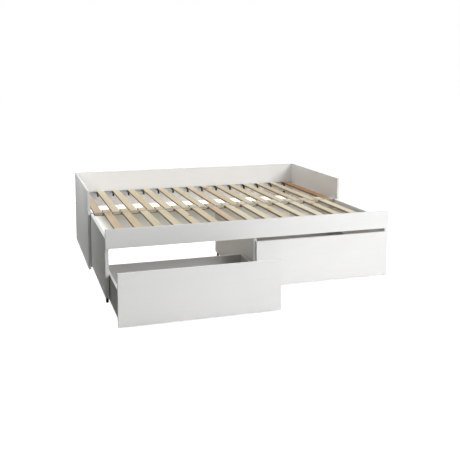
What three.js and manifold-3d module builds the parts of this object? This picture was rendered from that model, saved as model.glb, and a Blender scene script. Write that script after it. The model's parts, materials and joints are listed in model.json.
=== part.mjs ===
// Extending day bed: a fixed section with end panels and a back panel, a front section that slides
// out of it, and two drawers that roll on the floor in the front section. Millimetres, +Z up,
// +X to the right, +Y towards the back panel. The origin is on the floor at the middle of the bed
// as it stands: front section out, left drawer partly open, right drawer shut.

import * as THREE from 'three';
import { mergeVertices } from 'three/addons/utils/BufferGeometryUtils.js';
import Module from 'manifold-3d';

const wasm = await Module();
wasm.setup();

// Driving dimensions

const touchGap = 0.3; // between two pieces that touch
const boardThickness = 18; // end panels, back panel, rail and drawer fronts

const bedLength = 2060; // over both end panels
const fixedDepth = 1003; // front to back of an end panel
const endHeight = 592; // end panels and back panel above the floor
const backPanelHeight = 306;

const frontReach = 823; // rail's face in front of the end panels' front edges
const frontWidth = 2020; // outside its two side uprights
const frontDepth = 940; // rail's face to the uprights' rear edges
const uprightThickness = 22;
const uprightTop = 418;
const railBottom = 354;
const railHeight = 126;

const footHeight = 30;
const footRadius = 10.5;
const footInset = 14; // foot's centre from the upright's front edge
const rearFootInset = 42; // foot's centre from the upright's rear edge
const footTaper = 1; // sole's radius is this much smaller than the collar's
const footSoleEdge = 3; // rounding at the floor
const footCollar = 8; // straight part under the board

const slatTop = 420;
const slatThickness = 16;
const slatWidth = 60;
const slatPitch = 135.5;
const rearSlatCount = 15;
const frontSlatCount = 14; // they lie in the spaces between the rear slats
const rearSlatSetback = 5; // slat ends behind the end panels' front edges
const frontSlatOverrun = 26; // slat ends behind the rear batten

const battenThickness = 18;
const frontBattenWidth = 40;
const rearBattenWidth = 45;

const angleLeg = 36; // flat leg of the steel angle under the rear ends of the rear slats
const angleUpstand = 15; // its other leg above the flat one, behind the slats' ends
const angleThickness = 3;

const barWidth = 22; // steel bar over the front ends of the rear slats
const barThickness = 3;
const barTabHeight = 45; // its turned-up ends, screwed to the end panels
const barBendRadius = 6;
const barBendSteps = 5;
const barSetback = 3; // bar's front edge behind the end panels' front edges

const drawerOpening = 471; // how far the left drawer stands open
const drawerFrontWidth = 1001;
const drawerFrontGap = 8; // between the two fronts
const drawerFrontBottom = 12;
const drawerFrontHeight = 317;
const drawerDepth = 727; // front's face to the back wall's rear face
const drawerSideClearance = 4; // drawer wall to upright
const drawerWallThickness = 15;
const drawerWallTop = 182;
const drawerBottomLevel = 52; // underside of the bottom board
const drawerBottomThickness = 6;

const wheelRadius = 24;
const wheelWidth = 20;
const wheelEdge = 3; // rounding of the tread's edges
const wheelHubRadius = 9;
const wheelHubLength = 6; // hub standing out on each side of the wheel
const wheelInset = 14; // wheel's outer face from the drawer wall
const axleRadius = 4;
const axleBoreRadius = 4.4;
const axleBoreDepth = 8;
const axleSeat = 7; // how far an axle's end reaches into its bore
const frontAxleSetback = 90; // from the drawer front's face
const rearAxleSetback = 640;
const roundSegments = 24;
const arcSteps = 1; // half the number of straight pieces in a rounding

// Levels and lines worked out from them

const overallDepth = fixedDepth + frontReach + drawerOpening;
const backFace = overallDepth / 2;
const endFrontEdge = backFace - fixedDepth;
const railFace = endFrontEdge - frontReach;
const railRear = railFace + boardThickness;
const uprightFrontEdge = railRear + touchGap;
const uprightRearEdge = railFace + frontDepth;
const endInnerFace = bedLength / 2 - boardThickness;
const backInnerFace = backFace - boardThickness;
const uprightInnerFace = frontWidth / 2 - uprightThickness;
const slatBottom = slatTop - slatThickness;
const battenTop = slatBottom - touchGap;
const battenBottom = battenTop - battenThickness;

// Materials

function surface(color, roughness, metalness = 0) {
  return () => new THREE.MeshStandardMaterial({ color, roughness, metalness });
}

const whiteBoard = surface(0xe6e7e4, 0.45);
const drawerBoard = surface(0xc9c9c6, 0.55);
const pine = surface(0xd9cba6, 0.7);
const greySteel = surface(0x8d9192, 0.4, 0.8);
const paleSteel = surface(0xcfd0cc, 0.4, 0.6);
const blackPlastic = surface(0x161616, 0.5);
const greyPlastic = surface(0x55585a, 0.55);

// Ways of making a piece

const bed = new THREE.Group();

function place(name, geometry, material, parent = bed) {
  const mesh = new THREE.Mesh(geometry, material());
  mesh.name = name;
  parent.add(mesh);
  return mesh;
}

// A board given by its lowest and highest x, y and z.
function board(name, x, y, z, material, parent = bed) {
  const geometry = new THREE.BoxGeometry(x[1] - x[0], y[1] - y[0], z[1] - z[0]);
  const mesh = place(name, geometry, material, parent);
  mesh.position.set((x[0] + x[1]) / 2, (y[0] + y[1]) / 2, (z[0] + z[1]) / 2);
  return mesh;
}

function solidOf(geometry) {
  const plain = geometry.clone();
  plain.deleteAttribute('normal');
  plain.deleteAttribute('uv');
  const merged = mergeVertices(plain, 1e-4);
  return new wasm.Manifold(new wasm.Mesh({
    numProp: 3,
    vertProperties: new Float32Array(merged.attributes.position.array),
    triVerts: new Uint32Array(merged.index.array),
  }));
}

function geometryOf(solid) {
  const mesh = solid.getMesh();
  const geometry = new THREE.BufferGeometry();
  geometry.setAttribute('position', new THREE.BufferAttribute(mesh.vertProperties, 3));
  geometry.setIndex(new THREE.BufferAttribute(mesh.triVerts, 1));
  geometry.computeVertexNormals();
  return geometry;
}

// Fixed section: two ends, a back, and the rear slats between them

function fixedSection() {
  const ends = [['left_end_panel', -1], ['right_end_panel', 1]];
  for (const [name, side] of ends) {
    const faces = [side * endInnerFace, side * bedLength / 2].sort((a, b) => a - b);
    board(name, faces, [endFrontEdge, backFace], [0, endHeight], whiteBoard);
  }
  const between = [-endInnerFace + touchGap, endInnerFace - touchGap];
  board('back_panel', between, [backInnerFace, backFace],
    [endHeight - backPanelHeight, endHeight], whiteBoard);
  rearSlatRail(between);
  crossBar(between);
  const slatRear = backInnerFace - touchGap - angleThickness - touchGap;
  slats('rear_slat_', rearSlatCount, [endFrontEdge + rearSlatSetback, slatRear]);
}

// Steel angle on the back panel: the flat leg lies under the slats, the other stands up behind them.
function rearSlatRail(between) {
  const section = new THREE.Shape([
    new THREE.Vector2(0, -angleThickness),
    new THREE.Vector2(angleLeg, -angleThickness),
    new THREE.Vector2(angleLeg, angleUpstand),
    new THREE.Vector2(angleLeg - angleThickness, angleUpstand),
    new THREE.Vector2(angleLeg - angleThickness, 0),
    new THREE.Vector2(0, 0),
  ]);
  const length = between[1] - between[0];
  const geometry = new THREE.ExtrudeGeometry(section, { depth: length, bevelEnabled: false });
  // The section's x becomes +Y, its y becomes +Z, and the extrusion runs along +X.
  geometry.applyMatrix4(new THREE.Matrix4().makeBasis(
    new THREE.Vector3(0, 1, 0), new THREE.Vector3(0, 0, 1), new THREE.Vector3(1, 0, 0)));
  const mesh = place('rear_slat_rail', geometry, greySteel);
  mesh.position.set(between[0], backInnerFace - touchGap - angleLeg, battenTop);
}

// Flat steel bar from end panel to end panel over the slats, with both ends bent up.
function crossBar(between) {
  const half = between[1];
  const bend = barBendRadius;
  const outline = new THREE.Shape();
  outline.moveTo(-half, barTabHeight);
  outline.lineTo(-half, bend);
  outline.absarc(-half + bend, bend, bend, Math.PI, 1.5 * Math.PI);
  outline.absarc(half - bend, bend, bend, 1.5 * Math.PI, 2 * Math.PI);
  outline.lineTo(half, barTabHeight);
  outline.lineTo(half - barThickness, barTabHeight);
  outline.absarc(half - bend, bend, bend - barThickness, 0, -0.5 * Math.PI, true);
  outline.absarc(-half + bend, bend, bend - barThickness, 1.5 * Math.PI, Math.PI, true);
  outline.lineTo(-half + barThickness, barTabHeight);
  outline.closePath();
  const options = { depth: barWidth, bevelEnabled: false, curveSegments: barBendSteps };
  const geometry = new THREE.ExtrudeGeometry(outline, options);
  geometry.rotateX(Math.PI / 2);
  const mesh = place('cross_bar', geometry, paleSteel);
  mesh.position.set(0, endFrontEdge + barSetback + barWidth, slatTop + touchGap);
}

// Equal slats side by side, centred on the bed.
function slats(prefix, count, ends) {
  for (let i = 0; i < count; i += 1) {
    const x = (i - (count - 1) / 2) * slatPitch;
    board(prefix + String(i + 1).padStart(2, '0'),
      [x - slatWidth / 2, x + slatWidth / 2], ends, [slatBottom, slatTop], pine);
  }
}

// Front section: rail, uprights on feet, battens and the front slats

function frontSection() {
  board('front_rail', [-frontWidth / 2, frontWidth / 2], [railFace, railRear],
    [railBottom, railBottom + railHeight], whiteBoard);
  const depth = [uprightFrontEdge, uprightRearEdge];
  const half = uprightThickness / 2;
  const uprights = [
    ['left', 'left_upright', -frontWidth / 2 + half, uprightTop],
    ['centre', 'centre_partition', 0, battenBottom - touchGap],
    ['right', 'right_upright', frontWidth / 2 - half, uprightTop],
  ];
  for (const [side, name, x, top] of uprights) {
    board(name, [x - half, x + half], depth, [footHeight, top], whiteBoard);
    foot(side + '_front_foot', x, uprightFrontEdge + footInset);
    foot(side + '_rear_foot', x, uprightRearEdge - rearFootInset);
  }
  const between = [-uprightInnerFace + touchGap, uprightInnerFace - touchGap];
  const levels = [battenBottom, battenTop];
  const slatFront = railRear + touchGap;
  board('front_batten', between, [slatFront, slatFront + frontBattenWidth], levels, pine);
  board('rear_batten', between, [uprightRearEdge - rearBattenWidth, uprightRearEdge], levels, pine);
  slats('front_slat_', frontSlatCount, [slatFront, uprightRearEdge + frontSlatOverrun]);
}

// Round glide foot: wide under the board, rounded off where it meets the floor.
function foot(name, x, y) {
  const top = footHeight - touchGap;
  const soleRadius = footRadius - footTaper - footSoleEdge;
  const profile = new THREE.Path();
  profile.moveTo(0, 0);
  profile.lineTo(soleRadius, 0);
  profile.absarc(soleRadius, footSoleEdge, footSoleEdge, -Math.PI / 2, 0);
  profile.lineTo(footRadius, top - footCollar);
  profile.lineTo(footRadius, top);
  profile.lineTo(0, top);
  const geometry = new THREE.LatheGeometry(profile.getPoints(arcSteps), roundSegments);
  geometry.rotateX(Math.PI / 2);
  const mesh = place(name, geometry, blackPlastic);
  mesh.position.set(x, y, 0);
}

// Drawers

// A drawer is built about its front's centre line, with its face at y = 0.
function drawer(side, frontX, bayX, opening) {
  const group = new THREE.Group();
  group.position.set(0, railFace - opening, 0);
  bed.add(group);
  const name = (piece) => side + '_drawer_' + piece;
  board(name('front'), [frontX - drawerFrontWidth / 2, frontX + drawerFrontWidth / 2],
    [0, boardThickness], [drawerFrontBottom, drawerFrontBottom + drawerFrontHeight], whiteBoard, group);

  const outer = [bayX[0] + drawerSideClearance, bayX[1] - drawerSideClearance];
  const inner = [outer[0] + drawerWallThickness, outer[1] - drawerWallThickness];
  const innerX = [inner[0] + touchGap, inner[1] - touchGap];
  const depth = [boardThickness + touchGap, drawerDepth];
  const height = [drawerFrontBottom, drawerWallTop];
  sideWall(name('left_wall'), [outer[0], inner[0]], depth, height, inner[0], -1, group);
  sideWall(name('right_wall'), [inner[1], outer[1]], depth, height, inner[1], 1, group);
  const backWallDepth = [drawerDepth - drawerWallThickness, drawerDepth];
  board(name('back_wall'), innerX, backWallDepth, height, drawerBoard, group);
  board(name('bottom'), innerX,
    [boardThickness + touchGap, backWallDepth[0] - touchGap],
    [drawerBottomLevel, drawerBottomLevel + drawerBottomThickness], drawerBoard, group);
  wheelPair(name('front_wheels'), inner, frontAxleSetback, group);
  wheelPair(name('rear_wheels'), inner, rearAxleSetback, group);
}

// Side wall with two blind bores in its inner face for the axle ends. outward is -1 or 1.
function sideWall(name, x, y, z, innerFace, outward, group) {
  const box = new THREE.BoxGeometry(x[1] - x[0], y[1] - y[0], z[1] - z[0]);
  box.translate((x[0] + x[1]) / 2, (y[0] + y[1]) / 2, (z[0] + z[1]) / 2);
  let wall = solidOf(box);
  const overlap = 1; // the cutter starts this far inside the drawer
  const length = axleBoreDepth + overlap;
  for (const setback of [frontAxleSetback, rearAxleSetback]) {
    const cutter = new THREE.CylinderGeometry(axleBoreRadius, axleBoreRadius, length, roundSegments);
    cutter.rotateZ(Math.PI / 2);
    cutter.translate(innerFace + outward * (axleBoreDepth - overlap) / 2, setback, wheelRadius);
    wall = wall.subtract(solidOf(cutter));
  }
  place(name, geometryOf(wall), drawerBoard, group);
}

// Two wheels pressed on one axle, whose ends turn in the walls' bores.
function wheelPair(name, inner, setback, group) {
  const half = (inner[1] - inner[0]) / 2;
  const outerFace = half - wheelInset;
  const innerFace = outerFace - wheelWidth;
  const profile = new THREE.Path();
  profile.moveTo(0, -half - axleSeat);
  profile.lineTo(axleRadius, -half - axleSeat);
  wheelOutline(profile, -outerFace, -innerFace);
  wheelOutline(profile, innerFace, outerFace);
  profile.lineTo(axleRadius, half + axleSeat);
  profile.lineTo(0, half + axleSeat);
  const geometry = new THREE.LatheGeometry(profile.getPoints(arcSteps), roundSegments);
  geometry.rotateZ(-Math.PI / 2);
  const mesh = place(name, geometry, greyPlastic, group);
  mesh.position.set((inner[0] + inner[1]) / 2, setback, wheelRadius);
}

// One wheel of a pair, from its lower face to its upper face along the axle.
function wheelOutline(profile, low, high) {
  profile.lineTo(axleRadius, low - wheelHubLength);
  profile.lineTo(wheelHubRadius, low - wheelHubLength);
  profile.lineTo(wheelHubRadius, low);
  profile.lineTo(wheelRadius - wheelEdge, low);
  profile.absarc(wheelRadius - wheelEdge, low + wheelEdge, wheelEdge, -Math.PI / 2, 0);
  profile.absarc(wheelRadius - wheelEdge, high - wheelEdge, wheelEdge, 0, Math.PI / 2);
  profile.lineTo(wheelHubRadius, high);
  profile.lineTo(wheelHubRadius, high + wheelHubLength);
  profile.lineTo(axleRadius, high + wheelHubLength);
}

fixedSection();
frontSection();
const frontOffset = (drawerFrontWidth + drawerFrontGap) / 2;
const partitionFace = uprightThickness / 2;
drawer('left', -frontOffset, [-uprightInnerFace, -partitionFace], drawerOpening);
drawer('right', frontOffset, [partitionFace, uprightInnerFace], 0);

export default bed;
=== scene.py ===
import json
import math
import random

import bmesh
import bpy
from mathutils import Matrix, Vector


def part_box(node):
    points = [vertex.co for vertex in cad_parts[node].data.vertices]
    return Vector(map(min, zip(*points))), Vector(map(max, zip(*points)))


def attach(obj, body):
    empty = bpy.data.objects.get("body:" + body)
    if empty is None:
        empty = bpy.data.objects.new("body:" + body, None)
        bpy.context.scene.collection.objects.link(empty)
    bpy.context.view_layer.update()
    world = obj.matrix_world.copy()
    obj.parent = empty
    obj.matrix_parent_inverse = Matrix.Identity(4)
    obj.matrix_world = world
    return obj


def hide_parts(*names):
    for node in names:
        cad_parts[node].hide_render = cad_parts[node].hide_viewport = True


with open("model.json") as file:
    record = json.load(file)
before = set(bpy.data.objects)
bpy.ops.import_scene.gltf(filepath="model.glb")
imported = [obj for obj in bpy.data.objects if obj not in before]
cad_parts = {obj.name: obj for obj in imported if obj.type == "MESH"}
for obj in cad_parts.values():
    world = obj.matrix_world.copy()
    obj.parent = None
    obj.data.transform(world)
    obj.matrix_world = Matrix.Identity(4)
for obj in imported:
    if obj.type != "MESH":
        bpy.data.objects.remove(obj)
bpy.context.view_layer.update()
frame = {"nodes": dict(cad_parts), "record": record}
record = frame["record"]
print("bed frame loaded:", len(frame["nodes"]), "parts")

mm = 0.001
bodyOf = {}
for bodyName, members in record["behaviour"]["bodies"].items():
    for member in members:
        bodyOf[member] = bodyName


# Camera: standing a little left of the bed, looking along it and slightly down
cameraSettings = {
    "place": (-1.5606, -4.9899, 1.4659),
    "turn": 17.69,      # degrees to the right of straight ahead
    "tilt": 5.404,      # degrees below level
    "lens": 54.108,
    "riseShift": -0.2,  # keeps the uprights nearly parallel
}


def makeCamera(settings):
    data = bpy.data.cameras.new("bedCamera")
    data.lens = settings["lens"]
    data.sensor_width = 36
    data.shift_y = settings["riseShift"]
    data.clip_end = 100
    camera = bpy.data.objects.new("bedCamera", data)
    camera.location = settings["place"]
    camera.rotation_euler = (math.radians(90 - settings["tilt"]), 0, math.radians(-settings["turn"]))
    bpy.context.collection.objects.link(camera)
    bpy.context.scene.camera = camera


makeCamera(cameraSettings)
print("camera placed")


# Shader groups, each built once and reused with its own values

def startGroup(name, inputs, outputs):
    group = bpy.data.node_groups.new(name, "ShaderNodeTree")
    for label, kind, value in inputs:
        socket = group.interface.new_socket(name=label, in_out="INPUT", socket_type=kind)
        socket.default_value = value
    for label, kind in outputs:
        group.interface.new_socket(name=label, in_out="OUTPUT", socket_type=kind)
    entry = group.nodes.new("NodeGroupInput")
    leave = group.nodes.new("NodeGroupOutput")
    return group, entry, leave


def mathNode(tree, operation, *values, clamp=False):
    node = tree.nodes.new("ShaderNodeMath")
    node.operation = operation
    node.use_clamp = clamp
    for i, value in enumerate(values):
        if isinstance(value, (int, float)):
            node.inputs[i].default_value = value
        else:
            tree.links.new(value, node.inputs[i])
    return node.outputs[0]


def rampNode(tree, value, low, high, outLow=0.0, outHigh=1.0, smooth=True):
    node = tree.nodes.new("ShaderNodeMapRange")
    node.interpolation_type = "SMOOTHSTEP" if smooth else "LINEAR"
    tree.links.new(value, node.inputs["Value"])
    node.inputs["From Min"].default_value = low
    node.inputs["From Max"].default_value = high
    node.inputs["To Min"].default_value = outLow
    node.inputs["To Max"].default_value = outHigh
    return node.outputs["Result"]


def stretched(tree, vector, scale):
    node = tree.nodes.new("ShaderNodeVectorMath")
    node.operation = "MULTIPLY"
    tree.links.new(vector, node.inputs[0])
    if isinstance(scale, tuple):
        node.inputs[1].default_value = scale
    else:
        tree.links.new(scale, node.inputs[1])
    return node.outputs[0]


def noiseNode(tree, vector, scale, detail=2.0, rough=0.5):
    node = tree.nodes.new("ShaderNodeTexNoise")
    tree.links.new(vector, node.inputs["Vector"])
    node.inputs["Scale"].default_value = scale
    node.inputs["Detail"].default_value = detail
    node.inputs["Roughness"].default_value = rough
    return node.outputs["Fac"]


def mixColours(tree, factor, first, second, blend="MIX"):
    node = tree.nodes.new("ShaderNodeMix")
    node.data_type = "RGBA"
    node.blend_type = blend
    pairs = ((node.inputs[0], factor), (node.inputs[6], first), (node.inputs[7], second))
    for socket, value in pairs:
        if isinstance(value, (int, float, tuple)):
            socket.default_value = value
        else:
            tree.links.new(value, socket)
    return node.outputs[2]


def edgeMask(tree):
    # 1 on a rounded edge, 0 on a board's flat faces, which all lie square to the axes
    geometry = tree.nodes.new("ShaderNodeNewGeometry")
    split = tree.nodes.new("ShaderNodeSeparateXYZ")
    tree.links.new(geometry.outputs["True Normal"], split.inputs[0])
    sides = [mathNode(tree, "ABSOLUTE", split.outputs[i]) for i in range(3)]
    largest = mathNode(tree, "MAXIMUM", mathNode(tree, "MAXIMUM", sides[0], sides[1]), sides[2])
    return rampNode(tree, largest, 0.995, 0.9)


def makePineGrain():
    group, entry, leave = startGroup(
        "pineGrain",
        [("Seed", "NodeSocketFloat", 0.0), ("Pith X", "NodeSocketFloat", 0.0),
         ("Pith Z", "NodeSocketFloat", 0.35), ("Ring Width", "NodeSocketFloat", 0.004),
         ("Knots", "NodeSocketFloat", 1.0), ("Pale", "NodeSocketColor", (0.7, 0.6, 0.42, 1)),
         ("Dark", "NodeSocketColor", (0.6, 0.45, 0.28, 1)),
         ("Knot", "NodeSocketColor", (0.2, 0.1, 0.05, 1)),
         ("Sawn", "NodeSocketColor", (0.7, 0.55, 0.4, 1))],
        [("Color", "NodeSocketColor"), ("Roughness", "NodeSocketFloat"), ("Height", "NodeSocketFloat")])
    place = group.nodes.new("ShaderNodeTexCoord").outputs["Object"]
    split = group.nodes.new("ShaderNodeSeparateXYZ")
    group.links.new(place, split.inputs[0])
    seed = entry.outputs["Seed"]
    shifted = group.nodes.new("ShaderNodeCombineXYZ")
    for i, step in enumerate((1.37, 2.11, 0.0)):
        moved = mathNode(group, "MULTIPLY_ADD", seed, step, split.outputs[i])
        group.links.new(moved, shifted.inputs[i])
    grainPlace = shifted.outputs[0]

    # knots sit in stretched cells, and only some cells have one
    cells = group.nodes.new("ShaderNodeTexVoronoi")
    group.links.new(stretched(group, grainPlace, (8.0, 3.6, 0.0)), cells.inputs["Vector"])
    cells.inputs["Scale"].default_value = 1.0
    cellPick = group.nodes.new("ShaderNodeSeparateColor")
    group.links.new(cells.outputs["Color"], cellPick.inputs[0])
    picked = mathNode(group, "GREATER_THAN", cellPick.outputs[0], 0.42)
    picked = mathNode(group, "MULTIPLY", picked, entry.outputs["Knots"])
    size = rampNode(group, cellPick.outputs[1], 0.0, 1.0, 0.6, 1.5, smooth=False)
    near = mathNode(group, "DIVIDE", cells.outputs["Distance"], size)
    knot = mathNode(group, "MULTIPLY", rampNode(group, near, 0.075, 0.035), picked)
    halo = mathNode(group, "MULTIPLY", rampNode(group, near, 0.30, 0.04), picked)

    # yearly rings round a pith below the board, pushed aside by the knots
    wander = noiseNode(group, stretched(group, grainPlace, (5.0, 0.9, 5.0)), 1.0, 2.0)
    wander = mathNode(group, "MULTIPLY_ADD", wander, 0.05, -0.025)
    across = mathNode(group, "SUBTRACT", split.outputs[0], entry.outputs["Pith X"])
    across = mathNode(group, "ADD", across, wander)
    depth = mathNode(group, "SUBTRACT", split.outputs[2], entry.outputs["Pith Z"])
    radius = mathNode(group, "SQRT", mathNode(
        group, "ADD", mathNode(group, "POWER", across, 2.0), mathNode(group, "POWER", depth, 2.0)))
    phase = mathNode(group, "DIVIDE", radius, entry.outputs["Ring Width"])
    phase = mathNode(group, "MULTIPLY_ADD", halo, 1.6, phase)
    fraction = mathNode(group, "FRACT", phase)
    late = mathNode(group, "POWER", fraction, 2.6)
    late = mathNode(group, "MULTIPLY", late, rampNode(group, fraction, 1.0, 0.93))

    fibre = noiseNode(group, stretched(group, grainPlace, (520.0, 9.0, 520.0)), 1.0, 3.0, 0.6)
    broad = noiseNode(group, stretched(group, grainPlace, (9.0, 1.6, 9.0)), 1.0, 2.0)
    tone = mathNode(group, "MULTIPLY_ADD", late, 0.55, mathNode(group, "MULTIPLY", halo, 0.5))
    tone = mathNode(group, "ADD", tone, rampNode(group, broad, 0.35, 0.75, 0.0, 0.4), clamp=True)
    colour = mixColours(group, tone, entry.outputs["Pale"], entry.outputs["Dark"])
    streak = rampNode(group, fibre, 0.3, 0.7, 0.9, 1.05, smooth=False)
    grey = group.nodes.new("ShaderNodeCombineColor")
    for i in range(3):
        group.links.new(streak, grey.inputs[i])
    colour = mixColours(group, 1.0, colour, grey.outputs[0], "MULTIPLY")
    colour = mixColours(group, knot, colour, entry.outputs["Knot"])
    edge = mathNode(group, "MULTIPLY", edgeMask(group), 0.35)
    colour = mixColours(group, edge, colour, entry.outputs["Dark"])
    # painted shade: the long side faces, turned along x, are darkened by the side shade tint
    facing = group.nodes.new("ShaderNodeNewGeometry")
    parts = group.nodes.new("ShaderNodeSeparateXYZ")
    group.links.new(facing.outputs["True Normal"], parts.inputs[0])
    sideShadeMask = rampNode(group, mathNode(group, "ABSOLUTE", parts.outputs[0]), 0.5, 0.8)
    sideShadeColour = mixColours(group, 1.0, colour, entry.outputs["Sawn"], "MULTIPLY")
    colour = mixColours(group, sideShadeMask, colour, sideShadeColour)
    group.links.new(colour, leave.inputs["Color"])
    dry = mathNode(group, "MULTIPLY_ADD", late, -0.12, 0.72)
    group.links.new(mathNode(group, "MULTIPLY_ADD", knot, -0.2, dry), leave.inputs["Roughness"])
    relief = mathNode(group, "MULTIPLY_ADD", late, 0.35, mathNode(group, "MULTIPLY", fibre, 0.6))
    group.links.new(mathNode(group, "MULTIPLY_ADD", knot, 0.4, relief), leave.inputs["Height"])
    return group


def makeFoilSkin():
    group, entry, leave = startGroup(
        "foilSkin",
        [("Stretch", "NodeSocketVector", (1.0, 1.0, 1.0)), ("Seed", "NodeSocketFloat", 0.0),
         ("Gloss", "NodeSocketFloat", 0.4), ("Base", "NodeSocketColor", (0.8, 0.8, 0.8, 1)),
         ("Worn", "NodeSocketColor", (0.7, 0.7, 0.68, 1))],
        [("Color", "NodeSocketColor"), ("Roughness", "NodeSocketFloat"), ("Height", "NodeSocketFloat")])
    place = group.nodes.new("ShaderNodeTexCoord").outputs["Object"]
    offset = group.nodes.new("ShaderNodeVectorMath")
    offset.operation = "ADD"
    group.links.new(place, offset.inputs[0])
    group.links.new(entry.outputs["Seed"], offset.inputs[1])
    along = stretched(group, offset.outputs[0], entry.outputs["Stretch"])
    pores = noiseNode(group, along, 240.0, 3.0, 0.55)       # embossed grain of the foil
    streaks = noiseNode(group, along, 34.0, 2.0, 0.5)
    cloud = noiseNode(group, offset.outputs[0], 2.3, 2.0)
    smudge = noiseNode(group, offset.outputs[0], 9.0, 4.0, 0.6)
    tone = mathNode(group, "ADD", rampNode(group, cloud, 0.3, 0.75, 0.0, 0.22),
                    rampNode(group, streaks, 0.35, 0.7, 0.0, 0.10))
    tone = mathNode(group, "ADD", tone, rampNode(group, pores, 0.58, 0.75, 0.0, 0.14))
    tone = mathNode(group, "MULTIPLY_ADD", edgeMask(group), 0.45, tone)
    colour = mixColours(group, tone, entry.outputs["Base"], entry.outputs["Worn"])
    group.links.new(colour, leave.inputs["Color"])
    rough = mathNode(group, "MULTIPLY_ADD", smudge, 0.16, entry.outputs["Gloss"])
    rough = mathNode(group, "MULTIPLY_ADD", pores, 0.08, rough)
    group.links.new(mathNode(group, "SUBTRACT", rough, 0.1), leave.inputs["Roughness"])
    group.links.new(mathNode(group, "MULTIPLY_ADD", streaks, 0.25, pores), leave.inputs["Height"])
    return group


def makeSpeckle():
    group, entry, leave = startGroup(
        "speckle",
        [("Size", "NodeSocketFloat", 900.0), ("Gloss", "NodeSocketFloat", 0.45),
         ("Base", "NodeSocketColor", (0.5, 0.5, 0.5, 1)), ("Dust", "NodeSocketColor", (0.6, 0.6, 0.58, 1))],
        [("Color", "NodeSocketColor"), ("Roughness", "NodeSocketFloat"), ("Height", "NodeSocketFloat")])
    place = group.nodes.new("ShaderNodeTexCoord").outputs["Object"]
    grains = group.nodes.new("ShaderNodeTexNoise")
    group.links.new(place, grains.inputs["Vector"])
    group.links.new(entry.outputs["Size"], grains.inputs["Scale"])
    patches = noiseNode(group, place, 26.0, 4.0, 0.6)
    dust = rampNode(group, patches, 0.45, 0.8, 0.0, 0.3)
    colour = mixColours(group, dust, entry.outputs["Base"], entry.outputs["Dust"])
    group.links.new(colour, leave.inputs["Color"])
    rough = mathNode(group, "MULTIPLY_ADD", patches, 0.22, entry.outputs["Gloss"])
    group.links.new(mathNode(group, "SUBTRACT", rough, 0.1), leave.inputs["Roughness"])
    group.links.new(grains.outputs["Fac"], leave.inputs["Height"])
    return group


pineGrain = makePineGrain()
foilSkin = makeFoilSkin()
speckle = makeSpeckle()


def makeMaterial(name, group, values, bump=(0.2, 0.0005), **shader):
    material = bpy.data.materials.new(name)
    material.use_nodes = True
    tree = material.node_tree
    principled = tree.nodes["Principled BSDF"]
    for socket, value in shader.items():
        principled.inputs[socket.replace("_", " ")].default_value = value
    surface = tree.nodes.new("ShaderNodeGroup")
    surface.node_tree = group
    for label, value in values.items():
        surface.inputs[label].default_value = value
    relief = tree.nodes.new("ShaderNodeBump")
    relief.inputs["Strength"].default_value = bump[0]
    relief.inputs["Distance"].default_value = bump[1]
    tree.links.new(surface.outputs["Color"], principled.inputs["Base Color"])
    tree.links.new(surface.outputs["Roughness"], principled.inputs["Roughness"])
    tree.links.new(surface.outputs["Height"], relief.inputs["Height"])
    tree.links.new(relief.outputs["Normal"], principled.inputs["Normal"])
    return material


whiteFoil = {
    "base": (0.80, 0.80, 0.795, 1),
    "worn": (0.70, 0.70, 0.69, 1),
    "gloss": 0.42,
    "alongBed": (0.06, 1.0, 1.0),     # the foil's grain runs along the long boards
    "upright": (1.0, 1.0, 0.06),
    "deep": (1.0, 0.06, 1.0),
}
# lit and shaded copies of the drawer foil: the boards' grey is partly their foil and partly painted shade,
# and the walls' top faces get the paler lit copy
drawerShadeFoil = {
    "base": (0.46, 0.46, 0.45, 1),
    "worn": (0.39, 0.39, 0.38, 1),
    "gloss": 0.5,
}
litTopFoil = {
    "base": (0.74, 0.74, 0.73, 1),
    "worn": (0.64, 0.64, 0.63, 1),
    "gloss": 0.45,
}


def foilMaterial(name, finish, stretch, seed):
    values = {"Stretch": stretch, "Seed": seed, "Gloss": finish["gloss"],
              "Base": finish["base"], "Worn": finish["worn"]}
    return makeMaterial(name, foilSkin, values, bump=(0.12, 0.0003), Specular_IOR_Level=0.45)


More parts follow.
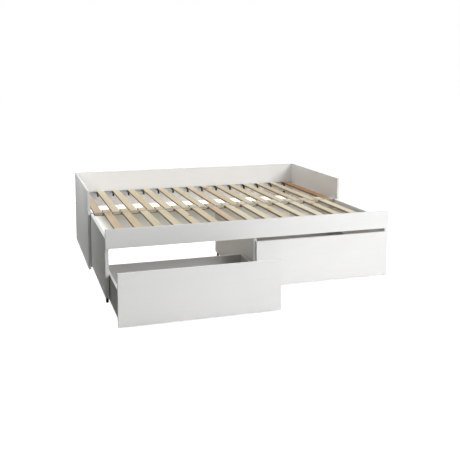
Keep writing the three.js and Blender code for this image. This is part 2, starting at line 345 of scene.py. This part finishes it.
materials = {
    "longBoard": foilMaterial("whiteFoilLong", whiteFoil, whiteFoil["alongBed"], 0.0),
    "deepBoard": foilMaterial("whiteFoilDeep", whiteFoil, whiteFoil["deep"], 3.0),
    "drawerFront": foilMaterial("whiteFoilFront", whiteFoil, whiteFoil["alongBed"], 7.0),
    # drawer foils darkened with painted shade, and a paler lit copy for the walls' top faces
    "drawerLong": foilMaterial("drawerFoilLong", drawerShadeFoil, whiteFoil["alongBed"], 11.0),
    "drawerDeep": foilMaterial("drawerFoilDeep", drawerShadeFoil, whiteFoil["deep"], 13.0),
    "drawerEdge": foilMaterial("drawerEdgeFoil", litTopFoil, whiteFoil["alongBed"], 17.0),
    "greySteel": makeMaterial(
        "greySteel", speckle, {"Size": 1400.0, "Gloss": 0.38, "Base": (0.50, 0.54, 0.54, 1),
                               "Dust": (0.38, 0.41, 0.41, 1)}, Metallic=0.7),
    "paleSteel": makeMaterial(
        "paleSteel", speckle, {"Size": 1400.0, "Gloss": 0.4, "Base": (0.62, 0.62, 0.61, 1),
                               "Dust": (0.52, 0.52, 0.50, 1)}, Metallic=0.6),
    "zincScrew": makeMaterial(
        "zincScrew", speckle, {"Size": 700.0, "Gloss": 0.3, "Base": (0.42, 0.42, 0.41, 1),
                               "Dust": (0.30, 0.29, 0.27, 1)}, Metallic=0.9),
    "blackPlastic": makeMaterial(
        "blackPlastic", speckle, {"Size": 1100.0, "Gloss": 0.5, "Base": (0.012, 0.012, 0.012, 1),
                                  "Dust": (0.05, 0.05, 0.048, 1)}, bump=(0.3, 0.0004)),
    "wheelPlastic": makeMaterial(
        "wheelPlastic", speckle, {"Size": 900.0, "Gloss": 0.5, "Base": (0.07, 0.073, 0.076, 1),
                                  "Dust": (0.16, 0.155, 0.15, 1)}, bump=(0.3, 0.0004)),
    "capPlastic": makeMaterial(
        "capPlastic", speckle, {"Size": 1000.0, "Gloss": 0.42, "Base": (0.72, 0.72, 0.71, 1),
                                "Dust": (0.62, 0.62, 0.60, 1)}),
}

# tones of planed pine: pale wood, darker late wood
pineTones = {
    "light": ((0.74, 0.70, 0.56, 1), (0.62, 0.52, 0.35, 1)),
    "pale": ((0.66, 0.60, 0.45, 1), (0.55, 0.44, 0.28, 1)),
    "straw": ((0.63, 0.55, 0.39, 1), (0.51, 0.39, 0.23, 1)),
    "pink": ((0.62, 0.515, 0.37, 1), (0.48, 0.34, 0.21, 1)),
    "honey": ((0.56, 0.40, 0.23, 1), (0.40, 0.23, 0.105, 1)),
    "orange": ((0.47, 0.29, 0.145, 1), (0.34, 0.175, 0.07, 1)),
}
knotColour = (0.16, 0.075, 0.03, 1)
# painted shade for the pine's long side faces, which are darkened by this tint
sideShadeTint = (0.66, 0.50, 0.36, 1)


def pineMaterial(name, toneName, seed, centre, knots=1.0):
    pick = random.Random(seed)
    pale, dark = pineTones[toneName]
    values = {
        "Seed": float(seed), "Knots": knots,
        "Pale": pale, "Dark": dark, "Knot": knotColour, "Sawn": sideShadeTint,
        "Pith X": centre.x + pick.uniform(-0.045, 0.045),
        "Pith Z": centre.z - pick.uniform(0.012, 0.07),
        "Ring Width": pick.uniform(0.0028, 0.0052),
    }
    return makeMaterial(name, pineGrain, values, bump=(0.35, 0.0006), Specular_IOR_Level=0.3)


print("materials ready")


# Ways of building a piece. Every mesh is made in the bed's own frame, so its object stays at the origin.

def finishPiece(name, shape, surfaces, body, nodes=()):
    bmesh.ops.recalc_face_normals(shape, faces=shape.faces)
    for edge in shape.edges:
        edge.smooth = edge.calc_face_angle(0) < math.radians(38)
    for face in shape.faces:
        face.smooth = True
    mesh = bpy.data.meshes.new(name)
    shape.to_mesh(mesh)
    shape.free()
    for surface in surfaces:
        mesh.materials.append(surface)
    piece = bpy.data.objects.new(name, mesh)
    bpy.context.collection.objects.link(piece)
    weighted = piece.modifiers.new("flatFaces", "WEIGHTED_NORMAL")
    weighted.keep_sharp = True
    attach(piece, body)
    if nodes:
        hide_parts(*nodes)
    return piece


def addBlock(shape, low, high, radius, steps=2):
    low = Vector(low)
    size = Vector(high) - low
    corners = bmesh.ops.create_cube(shape, size=1)["verts"]
    for corner in corners:
        corner.co = Vector(low[i] + (corner.co[i] + 0.5) * size[i] for i in range(3))
    edges = list({edge for corner in corners for edge in corner.link_edges})
    bmesh.ops.bevel(shape, geom=edges, offset=radius, segments=steps, profile=0.5,
                    affect="EDGES", clamp_overlap=True)


def addTurned(shape, profile, centre, axis, segments=32, surface=0):
    # profile runs as (radius, distance along the axis), from the axis back to the axis
    axis = Vector(axis).normalized()
    side = axis.orthogonal().normalized()
    other = axis.cross(side)
    rings = []
    for radius, along in profile:
        base = Vector(centre) + axis * along
        if radius == 0:
            rings.append([shape.verts.new(base)])
            continue
        turns = [2 * math.pi * i / segments for i in range(segments)]
        spokes = [(side * math.cos(t) + other * math.sin(t)) * radius for t in turns]
        rings.append([shape.verts.new(base + spoke) for spoke in spokes])
    for lower, upper in zip(rings, rings[1:]):
        for i in range(segments):
            j = (i + 1) % segments
            corners = [lower[i % len(lower)], lower[j % len(lower)],
                       upper[j % len(upper)], upper[i % len(upper)]]
            unique = list(dict.fromkeys(corners))
            if len(unique) > 2:
                shape.faces.new(unique).material_index = surface


def addPrism(shape, outline, origin, across, up, along, length):
    # a flat outline in the plane of across and up, drawn out by length
    origin, across, up, along = Vector(origin), Vector(across), Vector(up), Vector(along)
    near = [shape.verts.new(origin + across * p[0] + up * p[1]) for p in outline]
    far = [shape.verts.new(v.co + along * length) for v in near]
    shape.faces.new(near)
    shape.faces.new(list(reversed(far)))
    for i in range(len(near)):
        j = (i + 1) % len(near)
        shape.faces.new([near[i], near[j], far[j], far[i]])


def arcPoints(centre, radius, startDegrees, endDegrees, steps):
    sweep = endDegrees - startDegrees
    angles = [math.radians(startDegrees + sweep * i / steps) for i in range(steps + 1)]
    return [(centre[0] + radius * math.cos(a), centre[1] + radius * math.sin(a)) for a in angles]


def camelName(node):
    first, *others = node.split("_")
    return first + "".join(word.capitalize() for word in others)


def boardPiece(node, surface, radius=1.0 * mm, steps=2, topSurface=None):
    low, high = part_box(node)
    shape = bmesh.new()
    addBlock(shape, low, high, radius, steps)
    surfaces = [surface]
    if topSurface:
        surfaces.append(topSurface)
        shape.normal_update()
        for face in shape.faces:
            face.material_index = int(face.normal.z > 0.6)
    return finishPiece(camelName(node), shape, surfaces, bodyOf[node], [node])


def centreOf(node):
    low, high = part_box(node)
    return (low + high) / 2


# Boards of the fixed and the front section
boardFinish = {
    "left_end_panel": "deepBoard",
    "right_end_panel": "deepBoard",
    "back_panel": "longBoard",
    "front_rail": "longBoard",
    "left_upright": "deepBoard",
    "centre_partition": "deepBoard",
    "right_upright": "deepBoard",
}
for node, finish in boardFinish.items():
    boardPiece(node, materials[finish])
print("boards made")


# Slats and battens
slatSettings = {
    "edgeRadius": 2.2 * mm,
    "edgeSteps": 3,
    "rearTones": {1: "pink", 4: "straw", 9: "straw", 15: "orange"},
    "frontTones": {1: "pink", 2: "straw", 7: "pink", 8: "light", 9: "light", 10: "pale",
                   11: "light", 12: "light", 13: "pale", 14: "light"},
    "usualTone": "pale",
    "battenKnots": 0.6,        # fewer knots show on the battens
    "battenRadius": 1.5 * mm,
    "firstSeed": 20,
}


def makeSlats(settings):
    seed = settings["firstSeed"]
    for row in ("rear", "front"):
        prefix = row + "_slat_"
        names = sorted(n for n in frame["nodes"] if n.startswith(prefix) and n[len(prefix):].isdigit())
        for node in names:
            seed += 1
            tone = settings[row + "Tones"].get(int(node[len(prefix):]), settings["usualTone"])
            woodName = "pine" + camelName(node)[0].upper() + camelName(node)[1:]
            wood = pineMaterial(woodName, tone, seed, centreOf(node))
            boardPiece(node, wood, settings["edgeRadius"], settings["edgeSteps"])
    for node in ("front_batten", "rear_batten"):
        seed += 1
        woodName = "pine" + node.split("_")[0].capitalize() + "Batten"
        wood = pineMaterial(woodName, "honey", seed, centreOf(node), settings["battenKnots"])
        boardPiece(node, wood, settings["battenRadius"], 2)


makeSlats(slatSettings)
print("slats and battens made")


# Steel: the angle under the rear slats and the bar over their front ends
angleSettings = {"thickness": 3 * mm, "bend": 4 * mm, "bendSteps": 5}
barSettings = {"thickness": 3 * mm, "bend": 6 * mm, "bendSteps": 6}


def makeSlatAngle(settings):
    node = "rear_slat_rail"
    low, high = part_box(node)
    depth, height = high.y - low.y, high.z - low.z
    wall, bend = settings["thickness"], settings["bend"]
    # the flat leg lies under the slats and the other leg stands up behind them
    outline = [(0, wall), (0, 0)]
    outline += arcPoints((depth - bend, bend), bend, 270, 360, settings["bendSteps"])
    outline += [(depth, height), (depth - wall, height)]
    outline += arcPoints((depth - bend, bend), bend - wall, 360, 270, settings["bendSteps"])
    shape = bmesh.new()
    addPrism(shape, outline, (low.x, low.y, low.z), (0, 1, 0), (0, 0, 1), (1, 0, 0), high.x - low.x)
    return finishPiece("rearSlatAngle", shape, [materials["greySteel"]], bodyOf[node], [node])


def makeCrossBar(settings):
    node = "cross_bar"
    low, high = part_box(node)
    half, height = high.x, high.z - low.z
    wall, bend, steps = settings["thickness"], settings["bend"], settings["bendSteps"]
    outline = [(-half, height)]
    outline += arcPoints((-half + bend, bend), bend, 180, 270, steps)
    outline += arcPoints((half - bend, bend), bend, 270, 360, steps)
    outline += [(half, height), (half - wall, height)]
    outline += arcPoints((half - bend, bend), bend - wall, 0, -90, steps)
    outline += arcPoints((-half + bend, bend), bend - wall, 270, 180, steps)
    outline += [(-half + wall, height)]
    shape = bmesh.new()
    addPrism(shape, outline, (0, low.y, low.z), (1, 0, 0), (0, 0, 1), (0, 1, 0), high.y - low.y)
    return finishPiece("crossBar", shape, [materials["paleSteel"]], bodyOf[node], [node])


makeSlatAngle(angleSettings)
makeCrossBar(barSettings)
print("steel made")


# Glide feet under the three uprights
footSettings = {"rounding": 4 * mm, "collar": 4 * mm, "segments": 40}


def makeFoot(node, settings):
    low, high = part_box(node)
    centre = (low + high) / 2
    radius, height = (high.x - low.x) / 2, high.z - low.z
    stem = radius * 0.86
    rounding, collar = settings["rounding"], settings["collar"]
    profile = [(0, 0)]
    profile += arcPoints((stem - rounding, rounding), rounding, -90, 0, 5)
    profile += [(stem, height * 0.55), (stem * 1.04, height - collar * 1.6)]
    profile += [(radius - 0.6 * mm, height - collar), (radius, height - collar * 0.8)]
    profile += [(radius, height), (0, height)]
    shape = bmesh.new()
    addTurned(shape, profile, (centre.x, centre.y, low.z), (0, 0, 1), settings["segments"])
    surfaces = [materials["blackPlastic"]]
    return finishPiece(camelName(node), shape, surfaces, bodyOf[node], [node])


for node in sorted(frame["nodes"]):
    if node.endswith("_foot"):
        makeFoot(node, footSettings)
print("feet made")


# Drawers: boards, then wheels on their axles
# the drawer's boards other than the front take the grey foil with painted shade
drawerFinish = {
    "front": "drawerFront",
    "left_wall": "drawerDeep",
    "right_wall": "drawerDeep",
    "back_wall": "drawerLong",
    "bottom": "drawerLong",
}
wheelSettings = {
    "axleRadius": 4 * mm,
    "hubRadius": 9 * mm,
    "hubLength": 6 * mm,
    "width": 20 * mm,
    "inset": 21 * mm,        # wheel's outer face from the axle's end
    "treadRounding": 3 * mm,
    "webDepth": 5 * mm,      # how far the wheel's sides are dished
    "rimWidth": 4 * mm,
    "segments": 48,
}


def makeWheelPair(node, settings):
    low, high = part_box(node)
    centre = (low + high) / 2
    half, radius = (high.x - low.x) / 2, (high.z - low.z) / 2
    s = settings
    shape = bmesh.new()
    axle = [(0, -half), (s["axleRadius"] - 0.6 * mm, -half), (s["axleRadius"], -half + 0.6 * mm),
            (s["axleRadius"], half - 0.6 * mm), (s["axleRadius"] - 0.6 * mm, half), (0, half)]
    addTurned(shape, axle, centre, (1, 0, 0), 24, surface=1)
    rimInner = radius - s["treadRounding"] - s["rimWidth"]
    for side in (-1, 1):
        outer = side * (half - s["inset"])
        middle = outer - side * s["width"] / 2
        reach = s["width"] / 2
        bore = s["axleRadius"] + 0.1 * mm
        right = [(bore, reach + s["hubLength"]), (s["hubRadius"] - mm, reach + s["hubLength"]),
                 (s["hubRadius"], reach + s["hubLength"] - mm),
                 (s["hubRadius"] + mm, reach - s["webDepth"]),
                 (rimInner, reach - s["webDepth"]), (rimInner + mm, reach)]
        rounding = s["treadRounding"]
        right += arcPoints((radius - rounding, reach - rounding), rounding, 90, 0, 4)
        left = [(r, -a) for r, a in reversed(right)]
        ring = right + left
        hub = (centre.x + middle, centre.y, centre.z)
        addTurned(shape, ring + [ring[0]], hub, (1, 0, 0), s["segments"])
    bmesh.ops.remove_doubles(shape, verts=shape.verts, dist=1e-6)
    surfaces = [materials["wheelPlastic"], materials["zincScrew"]]
    return finishPiece(camelName(node), shape, surfaces, bodyOf[node], [node])


for side in ("left", "right"):
    for piece, finish in drawerFinish.items():
        # painted light: the walls' top faces take the paler lit copy, the other faces the grey copy with
        # painted shade
        wallTopLit = materials["drawerEdge"] if piece.endswith("wall") else None
        boardPiece(side + "_drawer_" + piece, materials[finish], topSurface=wallTopLit)
    for row in ("front", "rear"):
        makeWheelPair(side + "_drawer_" + row + "_wheels", wheelSettings)
print("drawers made")


# Fittings: screws, bolts, caps, clips and brackets
screwSettings = {"radius": 4.0 * mm, "rise": 1.0 * mm, "flushRise": 0.15 * mm, "segments": 20}
boltSettings = {"radius": 6.5 * mm, "rise": 2.2 * mm, "levels": (322 * mm, 551 * mm)}
capSettings = {"radius": 9.0 * mm, "rise": 1.0 * mm, "setback": 34 * mm}
clipSettings = {
    "play": 0.4 * mm, "cheek": 6 * mm, "front": 23 * mm, "behind": 29 * mm, "height": 13 * mm,
    "hookWidth": 13 * mm, "hookDrop": 25 * mm, "hookDepth": 22 * mm, "rounding": 1.2 * mm,
}
bracketSettings = {
    "capFromEnd": 75 * mm, "capLevel": 321 * mm, "capRadius": 12 * mm, "capRise": 6 * mm,
    "legX": 60 * mm, "legY": 34 * mm, "level": 292 * mm, "height": 14 * mm, "thickness": 2.5 * mm,
}


def addScrew(shape, place, axis, radius=None, rise=None):
    radius = radius or screwSettings["radius"]
    rise = rise or screwSettings["rise"]
    profile = [(0, -0.4 * mm), (radius, -0.4 * mm), (radius, rise * 0.35), (radius * 0.82, rise * 0.85),
               (radius * 0.5, rise), (radius * 0.42, rise), (radius * 0.36, rise * 0.3), (0, rise * 0.3)]
    addTurned(shape, profile, place, axis, screwSettings["segments"])


def slatNames(row):
    return sorted(n for n in frame["nodes"] if n.startswith(row + "_slat_") and n[-2:].isdigit())


def makeSlatScrews():
    rear = bmesh.new()
    barLow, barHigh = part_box("cross_bar")
    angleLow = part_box("rear_slat_rail")[0]
    for node in slatNames("rear"):
        low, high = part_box(node)
        x = (low.x + high.x) / 2
        addScrew(rear, (x, (angleLow.y + high.y) / 2, high.z), (0, 0, 1))
        barTop = barLow.z + barSettings["thickness"]
        addScrew(rear, (x, (barLow.y + barHigh.y) / 2, barTop), (0, 0, 1), 3.2 * mm)
    finishPiece("rearSlatScrews", rear, [materials["zincScrew"]], "fixed_section")
    front = bmesh.new()
    for node in slatNames("front"):
        low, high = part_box(node)
        x = (low.x + high.x) / 2
        for batten in ("front_batten", "rear_batten"):
            # flush, so that they pass under the cross bar
            addScrew(front, (x, centreOf(batten).y, high.z), (0, 0, 1), rise=screwSettings["flushRise"])
    finishPiece("frontSlatScrews", front, [materials["zincScrew"]], "front_section")


def makeSlatClips(settings):
    # a pocket either side of each slat, hooked over the front edge of the angle's flat leg
    shape = bmesh.new()
    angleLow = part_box("rear_slat_rail")[0]
    seat = angleLow.z + angleSettings["thickness"] + 0.1 * mm
    leg = angleLow.y - 0.3 * mm
    for node in slatNames("rear"):
        low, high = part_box(node)
        for side, edge in ((-1, low.x), (1, high.x)):
            near = edge + side * settings["play"]
            far = near + side * settings["cheek"]
            addBlock(shape, (min(near, far), leg - settings["front"], seat),
                     (max(near, far), angleLow.y + settings["behind"], seat + settings["height"]),
                     settings["rounding"])
            inner = edge - side * settings["hookWidth"] / 2
            addBlock(shape, (min(inner, far), leg - settings["hookDepth"], seat - settings["hookDrop"]),
                     (max(inner, far), leg, seat - 0.1 * mm), settings["rounding"])
    finishPiece("rearSlatClips", shape, [materials["blackPlastic"]], "fixed_section")


def makeEndBolts(settings):
    shape = bmesh.new()
    backLow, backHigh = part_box("back_panel")
    for node, side in (("left_end_panel", -1), ("right_end_panel", 1)):
        low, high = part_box(node)
        face = low.x if side < 0 else high.x
        for level in settings["levels"]:
            addScrew(shape, (face, (backLow.y + backHigh.y) / 2, level), (side, 0, 0),
                     settings["radius"], settings["rise"])
    finishPiece("endPanelBolts", shape, [materials["blackPlastic"]], "fixed_section")


def makeBarScrews():
    shape = bmesh.new()
    low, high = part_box("cross_bar")
    middle = (low.y + high.y) / 2
    wall = barSettings["thickness"]
    for side in (-1, 1):
        x = side * (high.x - wall)
        for level in (0.45, 0.8):
            addScrew(shape, (x, middle, low.z + (high.z - low.z) * level), (-side, 0, 0), 3.6 * mm)
    finishPiece("crossBarScrews", shape, [materials["zincScrew"]], "fixed_section")


def makeBackBrackets(settings):
    # a black joint cap and a pale corner bracket at each end of the back panel
    caps = bmesh.new()
    brackets = bmesh.new()
    screws = bmesh.new()
    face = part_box("back_panel")[0].y
    wall = settings["thickness"]
    for side, node in ((-1, "left_end_panel"), (1, "right_end_panel")):
        low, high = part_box(node)
        end = (high.x if side < 0 else low.x) - side * 0.1 * mm
        capX = end - side * settings["capFromEnd"]
        addScrew(caps, (capX, face, settings["capLevel"]), (0, -1, 0),
                 settings["capRadius"], settings["capRise"])
        bottom, top = settings["level"], settings["level"] + settings["height"]
        reach = end - side * settings["legX"]
        inner = end - side * wall
        addBlock(brackets, (min(end, reach), face - wall, bottom),
                 (max(end, reach), face - 0.1 * mm, top), 0.8 * mm)
        addBlock(brackets, (min(end, inner), face - settings["legY"], bottom),
                 (max(end, inner), face - wall * 0.9, top), 0.8 * mm)
        for share in (0.4, 0.8):
            place = (end - side * settings["legX"] * share, face - wall, (bottom + top) / 2)
            addScrew(screws, place, (0, -1, 0), 3.2 * mm)
    finishPiece("backJointCaps", caps, [materials["blackPlastic"]], "fixed_section")
    finishPiece("backCornerBrackets", brackets, [materials["capPlastic"]], "fixed_section")
    finishPiece("backBracketScrews", screws, [materials["zincScrew"]], "fixed_section")


def makeAngleScrews():
    # through the upstand into the back panel, in every second gap between the slats
    shape = bmesh.new()
    low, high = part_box("rear_slat_rail")
    names = slatNames("rear")
    wall = angleSettings["thickness"]
    for left, right in list(zip(names, names[1:]))[::2]:
        x = (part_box(left)[1].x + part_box(right)[0].x) / 2
        addScrew(shape, (x, high.y - wall, (low.z + wall + high.z) / 2), (0, -1, 0))
    finishPiece("slatAngleScrews", shape, [materials["zincScrew"]], "fixed_section")


def makeFrontCaps(settings):
    shape = bmesh.new()
    railLow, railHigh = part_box("front_rail")
    y = railHigh.y + settings["setback"]
    faces = []
    for node in ("left_upright", "right_upright"):
        low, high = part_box(node)
        inward = 1 if low.x < 0 else -1
        faces.append((high.x if inward > 0 else low.x, inward))
    low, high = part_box("centre_partition")
    faces.append((low.x, -1))
    for face, inward in faces:
        addScrew(shape, (face, y, railLow.z + 12 * mm), (inward, 0, 0),
                 settings["radius"], settings["rise"])
    finishPiece("frontSectionCaps", shape, [materials["capPlastic"]], "front_section")


def makeDrawerFittings(side):
    cams = bmesh.new()
    screws = bmesh.new()
    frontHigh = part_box(side + "_drawer_front")[1]
    backLow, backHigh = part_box(side + "_drawer_back_wall")
    for wall, outward in (("left_wall", -1), ("right_wall", 1)):
        low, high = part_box(side + "_drawer_" + wall)
        inner = high.x if outward < 0 else low.x
        outer = low.x if outward < 0 else high.x
        for level in (0.45, 0.85):
            z = low.z + (high.z - low.z) * level
            addScrew(cams, (inner, frontHigh.y + 34 * mm, z), (-outward, 0, 0), 7.5 * mm, 0.8 * mm)
        for level in (0.2, 0.8):
            z = low.z + (high.z - low.z) * level
            addScrew(screws, (outer, (backLow.y + backHigh.y) / 2, z), (outward, 0, 0), 4.5 * mm, 0.6 * mm)
    finishPiece(side + "DrawerCams", cams, [materials["zincScrew"]], side + "_drawer")
    finishPiece(side + "DrawerScrews", screws, [materials["zincScrew"]], side + "_drawer")


makeSlatScrews()
makeSlatClips(clipSettings)
makeEndBolts(boltSettings)
makeBarScrews()
makeBackBrackets(bracketSettings)
makeAngleScrews()
makeFrontCaps(capSettings)
for side in ("left", "right"):
    makeDrawerFittings(side)
print("fittings made")


# Studio: pale floor and surround, a soft light on the right, weaker ones on the left and a strip
# low under the slats
studio = {
    "floorSize": 60.0,
    "floorLevel": -0.3 * mm,             # just below the feet
    "floorColour": (0.85, 0.845, 0.83, 1),
    "floorLeft": (0.10, 0.10, 0.09, 1),  # a darker sheet left of the bed keeps its left faces in shade
    "sheetLift": 0.07,                   # makes the darker sheet look as white as the floor beside it
    "sheetEdge": -1.06,
    "sheetFront": -1.1,
    "floorLift": 0.93,                   # how white the floor looks to the camera before any light
    "shade": {"left": -0.75, "right": 1.88, "front": 1.15, "back": 2.17, "soft": 0.1},
    "shadeNear": (0.66, 0.65, 0.58, 1),
    "shadeFar": (0.50, 0.49, 0.43, 1),
    "surround": (1.0, 1.0, 1.0, 1),
    "surroundLight": (0.12, 0.12, 0.12, 1),
    "surroundLeft": (0.09, 0.092, 0.08, 1),
    "lights": {
        "keyRight": {"place": (3.6, -5.0, 3.2), "aim": (0.2, -0.7, 0.3), "size": 2.5, "watts": 314},
        "overhead": {"place": (0.2, 0.2, 4.2), "aim": (0.0, 0.3, 0.0), "size": 3.5, "watts": 117},
        "frontLeft": {"place": (-2.4, -5.5, 2.6), "aim": (-0.6, -0.7, 0.3), "size": 1.6, "watts": 6},
        "leftClose": {"place": (-1.7, 0.65, 1.2), "aim": (-1.03, 0.65, 0.45), "size": 0.5, "watts": 6.4},
        "leftRear": {"place": (-2.5, 1.9, 1.0), "aim": (-1.03, 0.8, 0.35), "size": 0.8, "watts": 10},
        "lowStrip": {"place": (0.0, 0.6, 0.1), "aim": (0.0, 1.13, 0.36), "size": 1.8, "height": 0.1,
                     "watts": 1.8},
    },
}


def softStep(tree, value, edge, soft, rising=True):
    if rising:
        return rampNode(tree, value, edge - soft, edge + soft)
    return rampNode(tree, value, edge - soft, edge + soft, 1.0, 0.0)


def makeFloor(settings):
    shape = bmesh.new()
    half = settings["floorSize"] / 2
    level = settings["floorLevel"]
    corners = ((-half, -half, level), (half, -half, level), (half, half, level), (-half, half, level))
    shape.faces.new([shape.verts.new(corner) for corner in corners])
    mesh = bpy.data.meshes.new("studioFloor")
    shape.to_mesh(mesh)
    shape.free()
    floor = bpy.data.objects.new("studioFloor", mesh)
    bpy.context.collection.objects.link(floor)
    material = bpy.data.materials.new("studioFloor")
    material.use_nodes = True
    tree = material.node_tree
    principled = tree.nodes["Principled BSDF"]
    principled.inputs["Roughness"].default_value = 0.9
    principled.inputs["Specular IOR Level"].default_value = 0.0
    principled.inputs["Emission Color"].default_value = (1, 1, 1, 1)
    place = tree.nodes.new("ShaderNodeSeparateXYZ")
    tree.links.new(tree.nodes.new("ShaderNodeTexCoord").outputs["Object"], place.inputs[0])
    sheet = mathNode(tree, "MULTIPLY", softStep(tree, place.outputs[0], settings["sheetEdge"], 0.08, False),
                     softStep(tree, place.outputs[1], settings["sheetFront"], 0.1))
    paper = mixColours(tree, sheet, settings["floorColour"], settings["floorLeft"])
    shade = settings["shade"]
    soft = shade["soft"]
    inside = mathNode(tree, "MULTIPLY", softStep(tree, place.outputs[0], shade["left"], soft),
                      softStep(tree, place.outputs[0], shade["right"], soft, False))
    inside = mathNode(tree, "MULTIPLY", inside, softStep(tree, place.outputs[1], shade["front"], soft * 3))
    behind = softStep(tree, place.outputs[1], shade["back"], soft, False)
    inside = mathNode(tree, "MULTIPLY", inside, behind)
    away = rampNode(tree, place.outputs[1], shade["front"], shade["back"])
    dim = mixColours(tree, away, settings["shadeNear"], settings["shadeFar"])
    tree.links.new(mixColours(tree, inside, paper, dim), principled.inputs["Base Color"])
    path = tree.nodes.new("ShaderNodeLightPath")
    white = mathNode(tree, "MULTIPLY_ADD", sheet, settings["sheetLift"], settings["floorLift"])
    lift = mathNode(tree, "MULTIPLY", path.outputs["Is Camera Ray"], white)
    lift = mathNode(tree, "MULTIPLY", lift, mathNode(tree, "SUBTRACT", 1.0, inside))
    tree.links.new(lift, principled.inputs["Emission Strength"])
    mesh.materials.append(material)


def makeSurround(settings):
    world = bpy.data.worlds.new("studioSurround")
    bpy.context.scene.world = world
    world.use_nodes = True
    tree = world.node_tree
    background = tree.nodes["Background"]
    heading = tree.nodes.new("ShaderNodeSeparateXYZ")
    tree.links.new(tree.nodes.new("ShaderNodeTexCoord").outputs["Generated"], heading.inputs[0])
    leftward = rampNode(tree, heading.outputs[0], 0.1, -0.7)
    lighting = mixColours(tree, leftward, settings["surroundLight"], settings["surroundLeft"])
    path = tree.nodes.new("ShaderNodeLightPath")
    colour = mixColours(tree, path.outputs["Is Camera Ray"], lighting, settings["surround"])
    tree.links.new(colour, background.inputs["Color"])


def makeLight(name, settings):
    data = bpy.data.lights.new(name, "AREA")
    data.shape = "RECTANGLE"
    data.size = settings["size"]
    data.size_y = settings.get("height", settings["size"])
    data.energy = settings["watts"]
    light = bpy.data.objects.new(name, data)
    light.visible_camera = False
    light.location = settings["place"]
    aim = Vector(settings["aim"]) - Vector(settings["place"])
    light.rotation_euler = aim.to_track_quat("-Z", "Y").to_euler()
    bpy.context.collection.objects.link(light)


makeFloor(studio)
makeSurround(studio)
for lightName, lightSettings in studio["lights"].items():
    makeLight(lightName, lightSettings)
bpy.context.scene.view_settings.view_transform = "Standard"
print("studio lit")
